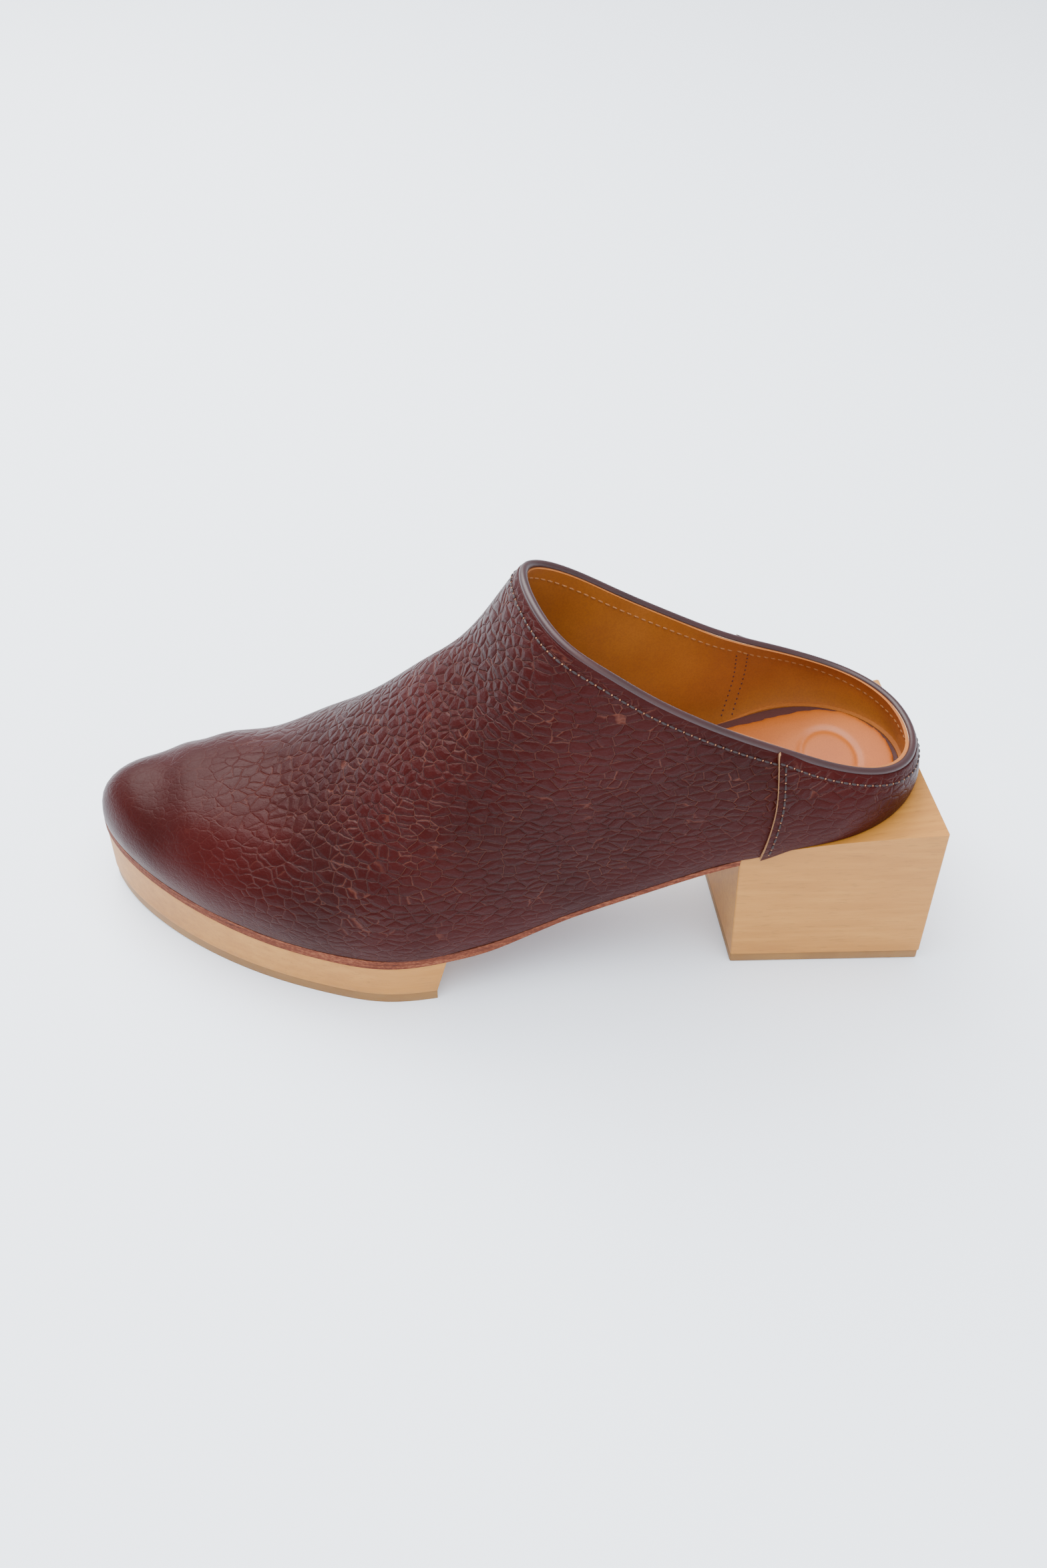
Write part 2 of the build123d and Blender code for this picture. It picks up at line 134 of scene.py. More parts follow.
class Finish:
    """A material and a short way to wire its nodes."""

    def __init__(self, name, roughness=0.5):
        self.material = bpy.data.materials.new(name)
        self.material.use_nodes = True
        self.tree = self.material.node_tree
        self.shader = self.tree.nodes["Principled BSDF"]
        self.shader.inputs["Roughness"].default_value = roughness
        self.place = self.add("ShaderNodeTexCoord").outputs["Object"]

    def add(self, kind, links=None, **settings):
        node = self.tree.nodes.new(kind)
        for key, value in settings.items():
            if key in node.inputs:
                node.inputs[key].default_value = value
            else:
                setattr(node, key, value)
        for key, source in (links or {}).items():
            self.tree.links.new(source, node.inputs[key])
        return node

    def link(self, source, name):
        self.tree.links.new(source, self.shader.inputs[name])

    def stretch(self, source, scale):
        node = self.add("ShaderNodeMapping", {"Vector": source})
        node.inputs["Scale"].default_value = scale
        return node.outputs[0]

    def ramp(self, source, *stops):
        """A colour or grey ramp: each stop is (place, colour)."""
        node = self.add("ShaderNodeValToRGB", {"Fac": source})
        points = node.color_ramp.elements
        while len(points) < len(stops):
            points.new(0.5)
        for point, (place, colour) in zip(points, stops):
            point.position = place
            point.color = (*colour, 1) if isinstance(colour, tuple) else (colour,) * 3 + (1,)
        return node.outputs["Color"]

    def noise(self, scale, detail=3.0, source=None, rough=0.5):
        node = self.add("ShaderNodeTexNoise", {"Vector": source or self.place},
                        Scale=scale, Detail=detail, Roughness=rough)
        return node.outputs["Fac"]

    def maths(self, operation, a, b):
        node = self.add("ShaderNodeMath", operation=operation)
        for socket, value in zip(node.inputs, (a, b)):
            if isinstance(value, (int, float)):
                socket.default_value = value
            else:
                self.tree.links.new(value, socket)
        return node.outputs[0]

    def blend(self, factor, a, b, blend_type="MIX"):
        node = self.add("ShaderNodeMix", data_type="RGBA", blend_type=blend_type)
        for index, value in ((0, factor), (6, a), (7, b)):
            if isinstance(value, (int, float)):
                node.inputs[index].default_value = value
            elif isinstance(value, tuple):
                node.inputs[index].default_value = (*value, 1)
            else:
                self.tree.links.new(value, node.inputs[index])
        return node.outputs[2]

    def bump(self, height, strength, distance, under=None):
        node = self.add("ShaderNodeBump", {"Height": height}, Strength=strength,
                        Distance=distance)
        if under is not None:
            self.tree.links.new(under, node.inputs["Normal"])
        return node.outputs["Normal"]


def linear(red, green, blue):
    """A finish colour from everyday 0 to 255 values."""
    return tuple((c / 255 / 12.92) if c < 10 else ((c / 255 + 0.055) / 1.055) ** 2.4
                 for c in (red, green, blue))


def grained_leather():
    f = Finish("oxblood_grained_leather", roughness=0.42)
    drift = f.add("ShaderNodeTexNoise", {"Vector": f.place}, Scale=220.0, Detail=2.0)
    wander = f.add("ShaderNodeVectorMath", {0: drift.outputs["Color"]}, operation="SCALE")
    wander.inputs["Scale"].default_value = 0.0014
    moved = f.add("ShaderNodeVectorMath", {0: f.place, 1: wander.outputs[0]}, operation="ADD")
    long_cells = f.stretch(moved.outputs[0], (200, 265, 380))
    big = f.add("ShaderNodeTexVoronoi", {"Vector": long_cells}, feature="DISTANCE_TO_EDGE",
                Scale=1.0)
    small = f.add("ShaderNodeTexVoronoi", {"Vector": long_cells}, feature="DISTANCE_TO_EDGE",
                  Scale=2.6)
    bold = f.add("ShaderNodeAttribute", attribute_name="grain").outputs["Fac"]
    pillow = f.ramp(big.outputs["Distance"], (0.0, 0.0), (0.07, 0.55), (0.3, 1.0))
    fine = f.ramp(small.outputs["Distance"], (0.0, 0.0), (0.12, 0.7), (0.35, 1.0))
    crease = f.ramp(big.outputs["Distance"], (0.0, 1.0), (0.04, 0.0))
    patchy = f.ramp(f.noise(70.0, 3.0), (0.38, 0.12), (0.62, 0.5))
    base = f.ramp(f.noise(24.0, 4.0), (0.3, linear(40, 5, 3)), (0.7, linear(54, 9, 7)))
    pale = f.maths("MULTIPLY", f.maths("MULTIPLY", crease, patchy), bold)
    f.link(f.blend(pale, base, linear(104, 60, 46)), "Base Color")
    first = f.bump(f.maths("MULTIPLY", pillow, bold), 1.0, 0.0006)
    second = f.bump(fine, 0.3, 0.00012, first)
    f.link(f.bump(f.noise(2600.0, 2.0), 0.12, 0.00005, second), "Normal")
    f.link(f.ramp(f.noise(60.0, 3.0), (0.3, 0.36), (0.7, 0.46)), "Roughness")
    f.shader.inputs["Specular IOR Level"].default_value = 0.1
    return f.material


def edge_leather():
    f = Finish("oxblood_smooth_leather", roughness=0.45)
    f.link(f.ramp(f.noise(70.0, 4.0), (0.3, linear(36, 6, 5)), (0.7, linear(48, 11, 9))),
           "Base Color")
    f.link(f.bump(f.noise(1500.0, 3.0), 0.15, 0.0001), "Normal")
    return f.material


def tan_leather(name, dark, light, grain=1800.0, roughness=0.5):
    f = Finish(name, roughness)
    colour = f.ramp(f.noise(35.0, 5.0), (0.25, dark), (0.75, light))
    pores = f.ramp(f.noise(grain, 2.0), (0.35, 0.86), (0.6, 1.0))
    f.link(f.blend(1.0, colour, pores, "MULTIPLY"), "Base Color")
    f.link(f.bump(f.noise(grain * 0.6, 3.0), 0.18, 0.0001), "Normal")
    f.link(f.ramp(f.noise(45.0, 3.0), (0.3, roughness - 0.06), (0.7, roughness + 0.06)),
           "Roughness")
    return f.material


def cut_edge():
    f = Finish("stacked_leather_edge", roughness=0.8)
    fibres = f.noise(1.0, 3.0, f.stretch(f.place, (900, 900, 1700)), 0.7)
    layers = f.noise(1.0, 3.0, f.stretch(f.place, (60, 60, 1500)))
    tone = f.blend(0.45, fibres, layers)
    f.link(f.ramp(tone, (0.32, linear(66, 28, 18)), (0.5, linear(100, 50, 32)),
                  (0.68, linear(140, 84, 58))), "Base Color")
    f.link(f.bump(tone, 0.7, 0.0004), "Normal")
    f.shader.inputs["Specular IOR Level"].default_value = 0.2
    return f.material


def alder():
    f = Finish("pale_alder_wood", roughness=0.55)
    slow = f.noise(1.0, 3.0, f.stretch(f.place, (3.0, 26, 26)))
    rings = f.noise(1.0, 4.0, f.stretch(f.place, (16, 420, 420)))
    flecks = f.noise(1.0, 2.0, f.stretch(f.place, (190, 1500, 1500)))
    tone = f.blend(0.5, slow, rings)
    colour = f.ramp(tone, (0.3, linear(152, 96, 26)), (0.5, linear(166, 109, 34)),
                    (0.7, linear(180, 123, 45)))
    specks = f.ramp(flecks, (0.3, 0.80), (0.42, 1.0))
    f.link(f.blend(0.8, colour, specks, "MULTIPLY"), "Base Color")
    f.link(f.bump(flecks, 0.2, 0.0001), "Normal")
    return f.material


def gum_rubber():
    f = Finish("honey_gum_rubber", roughness=0.5)
    f.link(f.ramp(f.noise(50.0, 3.0), (0.3, linear(122, 80, 26)), (0.7, linear(140, 96, 38))),
           "Base Color")
    f.link(f.bump(f.noise(900.0, 2.0), 0.15, 0.0002), "Normal")
    f.shader.inputs["Subsurface Weight"].default_value = 0.1
    return f.material


def waxed_thread(name, dark, light):
    f = Finish(name, roughness=0.6)
    twist = f.add("ShaderNodeTexWave", {"Vector": f.place}, Scale=900.0, Distortion=1.0)
    f.link(f.ramp(twist.outputs["Fac"], (0.2, dark), (0.8, light)), "Base Color")
    f.link(f.bump(twist.outputs["Fac"], 0.4, 0.0001), "Normal")
    return f.material


def hidden_stuff(name, dark, light, scale, metallic=0.0, roughness=0.7):
    f = Finish(name, roughness)
    f.shader.inputs["Metallic"].default_value = metallic
    f.link(f.ramp(f.noise(scale, 3.0), (0.3, dark), (0.7, light)), "Base Color")
    f.link(f.bump(f.noise(scale * 4, 2.0), 0.3, 0.0002), "Normal")
    return f.material


def linen():
    f = Finish("cotton_interlining", roughness=0.85)
    across = f.add("ShaderNodeTexWave", {"Vector": f.place}, bands_direction="X", Scale=500.0)
    along = f.add("ShaderNodeTexWave", {"Vector": f.place}, bands_direction="Z", Scale=500.0)
    weave = f.maths("MULTIPLY", across.outputs["Fac"], along.outputs["Fac"])
    f.link(f.ramp(weave, (0.1, linear(196, 188, 170)), (0.8, linear(228, 222, 206))),
           "Base Color")
    f.link(f.bump(weave, 0.4, 0.0001), "Normal")
    return f.material


FINISH = {
    "upper": grained_leather(),
    "edge": edge_leather(),
    "lining": tan_leather("golden_calf_lining", linear(136, 72, 20), linear(162, 96, 34)),
    "sock": tan_leather("tan_sock_leather", linear(144, 69, 8), linear(158, 82, 14), 2400.0),
    # The same brown finish also gives the painted shade in the lining's needle holes.
    "cover": tan_leather("brown_footbed_leather_and_hole_shade", linear(62, 30, 28), linear(80, 42, 38)),
    "raw": tan_leather("raw_cut_leather", linear(150, 104, 66), linear(186, 142, 98), 1400.0, 0.8),
    "pricked": tan_leather("pricked_leather", linear(124, 82, 52), linear(156, 110, 74), 1400.0,
                           0.8),
    "midsole": cut_edge(),
    "wood": alder(),
    "rubber": gum_rubber(),
    "thread": waxed_thread("waxed_brown_thread", linear(20, 6, 6), linear(38, 14, 13)),
    "lining_thread": waxed_thread("tan_thread", linear(120, 72, 30), linear(160, 104, 50)),
    "board": hidden_stuff("grey_fibre_board", linear(120, 112, 100), linear(150, 142, 128), 400),
    "cork": hidden_stuff("pressed_cork", linear(120, 80, 46), linear(184, 138, 92), 700),
    "steel": hidden_stuff("blued_spring_steel", linear(90, 92, 98), linear(126, 128, 134), 60,
                          1.0, 0.35),
    "foam": hidden_stuff("latex_foam", linear(226, 218, 190), linear(240, 232, 208), 900),
    "stiffener": hidden_stuff("cellulose_stiffener", linear(190, 176, 150),
                              linear(210, 198, 174), 500),
    "interlining": linen(),
}

CARRIED = {
    "heel_block": "wood", "forefoot_platform": "wood", "forefoot_outsole": "rubber",
    "heel_lift": "rubber", "leather_midsole": "midsole", "insole_board": "board",
    "bottom_filler": "cork", "shank": "steel", "footbed_cover": "cover", "heel_sock": "sock",
    "sock_foam": "foam", "vamp": "upper", "heel_quarter": "upper", "heel_counter": "stiffener",
    "side_interlining": "interlining", "toe_puff": "stiffener", "vamp_lining": "lining",
    "heel_lining": "lining", "heel_screw": "steel", "heel_nails": "steel",
    "topline_stitching": "thread", "outer_seam_stitching": "thread",
    "inner_seam_stitching": "thread",
}
for node, finish in CARRIED.items():
    nodes[node].data.materials.clear()
    nodes[node].data.materials.append(FINISH[finish])


# ---- the upper ----

def outward_face(node, name, place, toward):
    """The outward face of a designed part: cut free at its sharp edges, all else thrown away."""
    ob = own_copy(node, name)
    pick(ob)
    bpy.ops.object.mode_set(mode="EDIT")
    bpy.ops.mesh.select_mode(type="EDGE")
    bpy.ops.mesh.select_all(action="DESELECT")
    bpy.ops.mesh.edges_select_sharp(sharpness=SHARP)
    bpy.ops.mesh.edge_split(type="EDGE")
    bpy.ops.object.mode_set(mode="OBJECT")
    hit, _, _, index = ob.ray_cast(Vector(place), Vector(toward))
    assert hit, name
    bpy.ops.object.mode_set(mode="EDIT")
    bpy.ops.mesh.select_mode(type="FACE")
    bpy.ops.mesh.select_all(action="DESELECT")
    shape = bmesh.from_edit_mesh(ob.data)
    shape.faces.ensure_lookup_table()
    shape.faces[index].select = True
    bmesh.update_edit_mesh(ob.data)
    bpy.ops.mesh.select_linked()
    bpy.ops.mesh.select_all(action="INVERT")
    bpy.ops.mesh.delete(type="FACE")
    bpy.ops.object.mode_set(mode="OBJECT")
    return ob


def outline(ob):
    """The longest open border of a surface, as points in order."""
    shape = bmesh.new()
    shape.from_mesh(ob.data)
    border = {e for e in shape.edges if e.is_boundary}
    loops = []
    while border:
        edge = min(border, key=lambda e: e.index)
        loop, vert = [edge.verts[0]], edge.verts[1]
        border.discard(edge)
        while edge:
            loop.append(vert)
            edge = next((e for e in vert.link_edges if e in border), None)
            if edge:
                border.discard(edge)
                vert = edge.other_vert(vert)
        loops.append([v.co.copy() for v in loop[:-1]])
    shape.free()
    return max(loops, key=lambda l: sum((a - b).length for a, b in zip(l, l[1:])))


def between(loop, start, end, via):
    """The stretch of a closed border from one corner to another, by way of a third place."""
    def nearest(place):
        return min(range(len(loop)), key=lambda i: (loop[i] - Vector(place)).length)
    i, j, k = nearest(start), nearest(end), nearest(via)
    ahead = [loop[(i + n) % len(loop)] for n in range((j - i) % len(loop) + 1)]
    if (k - i) % len(loop) <= (j - i) % len(loop):
        return ahead
    return [loop[(i - n) % len(loop)] for n in range((i - j) % len(loop) + 1)]


def even(points, count, passes=6):
    """A line of points respaced evenly and eased, its two ends kept."""
    for _ in range(passes + 1):
        lengths = [0.0]
        for a, b in zip(points, points[1:]):
            lengths.append(lengths[-1] + (b - a).length)
        spaced, n = [], 0
        for i in range(count):
            at = lengths[-1] * i / (count - 1)
            while n < len(points) - 2 and lengths[n + 1] < at:
                n += 1
            span = max(lengths[n + 1] - lengths[n], 1e-9)
            spaced.append(points[n].lerp(points[n + 1], min(max((at - lengths[n]) / span, 0), 1)))
        points = [spaced[0]] + [(a + 2 * b + c) / 4 for a, b, c in
                                zip(spaced, spaced[1:], spaced[2:])] + [spaced[-1]]
    return points


EASING_ROUNDS = 14


def stretched_leather(name, face, top, foot, left, right, across, down):
    """A sheet of leather stretched over a face between four border lines.

    It starts as a flat grid, is hung between the borders, and is then eased and pressed
    onto the face again and again until it lies evenly. Gives back the piece and its rows
    of vertices, from the foot up.
    """
    deselect()
    bpy.ops.mesh.primitive_grid_add(x_subdivisions=across, y_subdivisions=down, size=1)
    ob = bpy.context.object
    ob.name = name
    top, foot = even(top, across + 1), even(foot, across + 1)
    left, right = even(left, down + 1, 2), even(right, down + 1, 2)
    rows = [[None] * (across + 1) for _ in range(down + 1)]
    for vert in ob.data.vertices:
        i, j = round((vert.co.x + 0.5) * across), round((vert.co.y + 0.5) * down)
        u, v = i / across, j / down
        flat = (foot[0] * (1 - u) * (1 - v) + foot[-1] * u * (1 - v)
                + top[0] * (1 - u) * v + top[-1] * u * v)
        vert.co = foot[i].lerp(top[i], v) + left[j].lerp(right[j], u) - flat
        rows[j][i] = vert.index
    inner = [index for row in rows[1:-1] for index in row[1:-1]]
    for _ in range(EASING_ROUNDS):
        finish_with(ob, "SHRINKWRAP", target=face, wrap_method="NEAREST_SURFACEPOINT")
        pick(ob)
        bpy.ops.object.mode_set(mode="EDIT")
        bpy.ops.mesh.select_mode(type="VERT")
        bpy.ops.mesh.select_all(action="DESELECT")
        bpy.ops.object.mode_set(mode="OBJECT")
        for index in inner:
            ob.data.vertices[index].select = True
        bpy.ops.object.mode_set(mode="EDIT")
        bpy.ops.mesh.vertices_smooth(factor=0.5, repeat=3)
        bpy.ops.object.mode_set(mode="OBJECT")
    finish_with(ob, "SHRINKWRAP", target=face, wrap_method="NEAREST_SURFACEPOINT")
    tree = BVHTree.FromObject(face, bpy.context.evaluated_depsgraph_get())
    centre = ob.data.polygons[len(ob.data.polygons) // 2]
    if tree.find_nearest(centre.center)[1].dot(centre.normal) < 0:
        pick(ob)
        bpy.ops.object.mode_set(mode="EDIT")
        bpy.ops.mesh.select_all(action="SELECT")
        bpy.ops.mesh.flip_normals()
        bpy.ops.object.mode_set(mode="OBJECT")
    return ob, rows


def grain(ob, rows):
    """How bold the leather's grain is: smooth at the toe, the sole and the folded edge."""
    toe_start, toe_fade = 95 * MM, 50 * MM
    sole_fade, edge_fade = 24 * MM, 3 * MM
    toe_least, sole_least = 0.12, 0.2
    layer = ob.data.attributes.new("grain", "FLOAT", "POINT")
    for number, row in enumerate(rows):
        for column, index in enumerate(row):
            spot = ob.data.vertices[index].co
            toe = min(max((toe_start - spot.x) / toe_fade, 0), 1)
            sole = min((spot - ob.data.vertices[rows[0][column]].co).length / sole_fade, 1)
            edge = min((spot - ob.data.vertices[rows[-1][column]].co).length / edge_fade, 1)
            layer.data[index].value = ((toe_least + (1 - toe_least) * toe)
                                       * (sole_least + (1 - sole_least) * sole ** 1.5) * edge)


def lap_over(ob, rows, columns, lift, reach):
    """Lifts the leather off the piece that it laps over, near one or more end columns.

    The lift dies away over the reach, and the cut end is skived: it slopes by most of the lift.
    """
    skive = 0.7
    verts = ob.data.vertices
    normals = [v.normal.copy() for v in verts]
    for row in rows:
        for column in columns:
            end = verts[row[column]].co.copy()
            step = 1 if column == 0 else -1
            for index in row[column::step]:
                away = (verts[index].co - end).length / reach
                if away >= 1:
                    break
                verts[index].co += normals[index] * lift * (1 - away * away * (3 - 2 * away))
            slope = (verts[row[column + step]].co - end).normalized() * lift * skive
            verts[row[column]].co += slope


def line_below(ob, rows, drop):
    """Points and outward normals on the leather at an even distance under its top border."""
    verts = ob.data.vertices
    line = []
    for column in range(len(rows[0])):
        left = drop
        for upper, lower in zip(rows[::-1], rows[-2::-1]):
            a, b = verts[upper[column]], verts[lower[column]]
            step = (b.co - a.co).length
            if step >= left:
                part = left / step
                line.append((a.co.lerp(b.co, part), a.normal.lerp(b.normal, part).normalized()))
                break
            left -= step
    return line


def line_beside(ob, rows, column, inset, top_gap, foot_gap):
    """Points and outward normals beside a seam, from top to foot."""
    verts = ob.data.vertices
    line = []
    ends = verts[rows[-1][column]].co, verts[rows[0][column]].co
    order = 1 if column == 0 else -1
    for row in rows[::-1]:
        left = inset
        chain = row[column::order]
        for one, two in zip(chain, chain[1:]):
            a, b = verts[one], verts[two]
            step = (b.co - a.co).length
            if step >= left:
                part = left / step
                spot = a.co.lerp(b.co, part)
                if (spot - ends[0]).length > top_gap and (spot - ends[1]).length > foot_gap:
                    line.append((spot, a.normal.lerp(b.normal, part).normalized()))
                break
            left -= step
    return line


def thicken(ob, rows, thickness):
    """Gives a sheet its thickness inwards; the cut ends at the seams become raw edge."""
    outside = len(ob.data.vertices)
    dress(ob, ("upper", "raw"))
    finish_with(ob, "SOLIDIFY", thickness=thickness, offset=-1, use_even_offset=True)
    rounded = {frozenset((a + shift, b + shift)) for row in (rows[0], rows[-1])
               for a, b in zip(row, row[1:]) for shift in (0, outside)}
    crisp = {frozenset((a[column] + shift, b[column] + shift)) for column in (0, -1)
             for a, b in zip(rows, rows[1:]) for shift in (0, outside)}
    weight = ob.data.attributes.new("bevel_weight_edge", "FLOAT", "EDGE")
    crease = ob.data.attributes.new("crease_edge", "FLOAT", "EDGE")
    for edge in ob.data.edges:
        weight.data[edge.index].value = float(frozenset(edge.vertices) in rounded)
        crease.data[edge.index].value = float(frozenset(edge.vertices) in crisp)
    for column in (0, -1):
        cut = {row[column] + shift for row in rows for shift in (0, outside)}
        for face in ob.data.polygons:
            if cut.issuperset(face.vertices):
                face.material_index = 1


def round_borders(ob, width):
    """Rounds the borders that thicken() marked, along the opening and the sole."""
    finish_with(ob, "BEVEL", width=width, segments=3, limit_method="WEIGHT",
                use_clamp_overlap=True)


def steps_along(line, pitch, start):
    """Evenly spaced places on a line: each is (point, direction, normal)."""
    places, gone, due = [], 0.0, start
    for (a, na), (b, nb) in zip(line, line[1:]):
        span = (b - a).length
        while span > 1e-9 and gone + span >= due:
            part = (due - gone) / span
            places.append((a.lerp(b, part), (b - a).normalized(), na.lerp(nb, part).normalized()))
            due += pitch
        gone += span
    return places


def sew(name, places, size, sink, finish, taken=()):
    """A row of stitches or needle marks: one is shaped, then copied to every place."""
    deselect()
    bpy.ops.mesh.primitive_uv_sphere_add(segments=8, ring_count=6, radius=0.5)
    model = bpy.context.object
    model.name = name + "_model"
    copies = []
    for spot, along, outward in places:
        side = outward.cross(along).normalized()
        ob = model.copy()
        ob.data = model.data.copy()
        bpy.context.scene.collection.objects.link(ob)
        turn = Matrix((along, side, side.cross(along) * -1)).transposed().to_4x4()
        scale = Matrix.Diagonal((*size, 1))
        ob.data.transform(Matrix.Translation(spot + outward * sink) @ turn @ scale)
        copies.append(ob)
    bpy.data.objects.remove(model)
    deselect()
    for ob in copies:
        ob.select_set(True)
    bpy.context.view_layer.objects.active = copies[0]
    bpy.ops.object.join()
    row = bpy.context.object
    row.name = name
    smooth(row)
    put_on(row, *taken, slot="thread", finishes=[finish])


def against(tree, places, depth):
    """The same places found again on the inner side of the lining."""
    found = []
    for spot, along, outward in places:
        hit, normal, _, _ = tree.ray_cast(spot - outward * depth, outward)
        if hit:
            found.append((hit, along, normal if normal.dot(outward) < 0 else -normal))
    return found


def tree_of(*names):
    """The designed parts' surfaces, for finding places on them."""
    points, faces = [], []
    for name in names:
        start = len(points)
        points += [v.co.copy() for v in nodes[name].data.vertices]
        faces += [[start + i for i in face.vertices] for face in nodes[name].data.polygons]
    return BVHTree.FromPolygons(points, faces)


vamp_face = outward_face("vamp", "vamp_face", (0.0, 0.2, 0.05), (0, -1, 0))
quarter_face = outward_face("heel_quarter", "quarter_face", (-0.5, 0.008, 0.06), (1, 0, 0))
quarter_low, quarter_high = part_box("heel_quarter")
vamp_low, vamp_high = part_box("vamp")
middle = (quarter_low.y + quarter_high.y) / 2
throat = (-4 * MM, -10 * MM, vamp_high.z)
toe_tip = (vamp_high.x, -25 * MM, 26 * MM)
heel_top = (quarter_low.x, middle, 67.5 * MM)
heel_foot = (quarter_low.x, middle, 55 * MM)
SEAM_SWEEP = 3 * MM          # each side seam runs this much forward from top to foot
PAST_CORNER = 5 * MM         # corners are looked for this far past the seam
VAMP_GRID = (170, 56)        # squares along and up the leather
QUARTER_GRID = (100, 22)
UPPER_THICKNESS = 1.3 * MM
BORDER_ROUND = 0.5 * MM
LAP_LIFT = 1.0 * MM
LAP_REACH = 12 * MM
EDGE_TO_THREAD = 3.6 * MM    # opening's edge to its row of stitches
SEAM_TO_THREAD = 2.0 * MM
SEAM_TOP_GAP = 5 * MM        # the seam's stitches stop this far from the opening
SEAM_FOOT_GAP = 3 * MM       # and this far from the sole


def corner_places(seam_x, foot_x, beyond):
    """Places just past the four corners, where the side seams meet the opening and the sole."""
    low, high = quarter_low, quarter_high
    lean = 6 * MM
    return {"outer_top": Vector((seam_x + beyond, high.y - lean, high.z + abs(beyond))),
            "outer_foot": Vector((foot_x + beyond, high.y, low.z - abs(beyond))),
            "inner_top": Vector((seam_x + beyond, low.y + lean, high.z + abs(beyond))),
            "inner_foot": Vector((foot_x + beyond, low.y, low.z - abs(beyond)))}


def four_borders(face, places, top_via, foot_via):
    """The four sides of a surface: along the opening, the sole and its two seams."""
    rim = outline(face)
    top = between(rim, places["outer_top"], places["inner_top"], top_via)
    foot = between(rim, places["outer_foot"], places["inner_foot"], foot_via)
    outer = between(rim, places["outer_foot"], places["outer_top"],
                    (places["outer_foot"] + places["outer_top"]) / 2)
    inner = between(rim, places["inner_foot"], places["inner_top"],
                    (places["inner_foot"] + places["inner_top"]) / 2)
    return top, foot, outer, inner


vamp_places = corner_places(vamp_low.x, vamp_low.x + SEAM_SWEEP, -PAST_CORNER)
vamp_borders = four_borders(vamp_face, vamp_places, throat, toe_tip)
vamp, vamp_rows = stretched_leather("oxblood_vamp", vamp_face, *vamp_borders, *VAMP_GRID)
quarter_places = corner_places(quarter_high.x - SEAM_SWEEP, quarter_high.x, PAST_CORNER)
quarter_borders = four_borders(quarter_face, quarter_places, heel_top, heel_foot)
quarter, quarter_rows = stretched_leather("oxblood_heel_quarter", quarter_face,
                                          *quarter_borders, *QUARTER_GRID)

rim_line = []
for leather, order in ((vamp, vamp_rows[-1]), (quarter, quarter_rows[-1][::-1])):
    rim_line += [(leather.data.vertices[i].co.copy(), leather.data.vertices[i].normal.copy())
                 for i in order]
for leather, rows in ((vamp, vamp_rows), (quarter, quarter_rows)):
    grain(leather, rows)
    thicken(leather, rows, UPPER_THICKNESS)
    if leather is quarter:
        lap_over(leather, rows, (0, -1), LAP_LIFT, LAP_REACH)
    leather.data.update()

top_line = line_below(vamp, vamp_rows, EDGE_TO_THREAD)
heel_line = line_below(quarter, quarter_rows, EDGE_TO_THREAD)
seam_lines = [line_beside(quarter, quarter_rows, column, SEAM_TO_THREAD, SEAM_TOP_GAP,
                          SEAM_FOOT_GAP) for column in (0, -1)]

for leather, node in ((vamp, "vamp"), (quarter, "heel_quarter")):
    round_borders(leather, BORDER_ROUND)
    finish_with(leather, "SUBSURF", levels=1, render_levels=1)
    smooth(leather, 50)
    put_on(leather, node, slot="upper_leather", finishes=["upper", "raw"])


FOLD_RADIUS = 1.25 * MM
FOLD_POINTS = 150


def folded_edge(line, radius):
    """The leather folded over all round the foot opening, as one smooth roll."""
    data = bpy.data.curves.new("folded_topline", "CURVE")
    data.dimensions = "3D"
    data.bevel_depth = radius
    data.bevel_resolution = 4
    spots = [spot - Vector((normal.x, normal.y, 0)).normalized() * radius
             for spot, normal in line]
    ring = even(spots + [spots[0]], FOLD_POINTS, 2)[:-1]
    spline = data.splines.new("NURBS")
    spline.points.add(len(ring) - 1)
    for point, spot in zip(spline.points, ring):
        point.co = (*spot, 1)
    spline.use_cyclic_u = True
    spline.order_u = 4
    spline.resolution_u = 3
    ob = bpy.data.objects.new("folded_topline", data)
    bpy.context.scene.collection.objects.link(ob)
    pick(ob)
    bpy.ops.object.convert(target="MESH")
    ob = bpy.context.object
    smooth(ob)
    put_on(ob, slot="upper_leather", finishes=["edge"])


folded_edge(rim_line, FOLD_RADIUS)

PITCH = 2.7 * MM
STITCH = (2.0 * MM, 0.7 * MM, 0.6 * MM)
MARK = (0.5 * MM, 0.5 * MM, 0.24 * MM)
TOP_START = 1.2 * MM         # first stitch from each end of the opening's rows
SEAM_START = 1 * MM
SINK = 0.05 * MM             # stitches stand this far out of the leather
LINING_DEPTH = 12 * MM       # how far in from the outside the lining is looked for
LINING_PITCH = 2.2 * MM
LINING_START = 2 * MM
LINING_MARK = (0.9 * MM, 0.55 * MM, 0.3 * MM)
LINING_ROWS = (1.0 * MM, -2.6 * MM)    # its two rows of needle holes, from the seam's thread, shown as dots of painted shade


def between_stitches(line, pitch, start):
    return steps_along(line, pitch, start + pitch / 2)


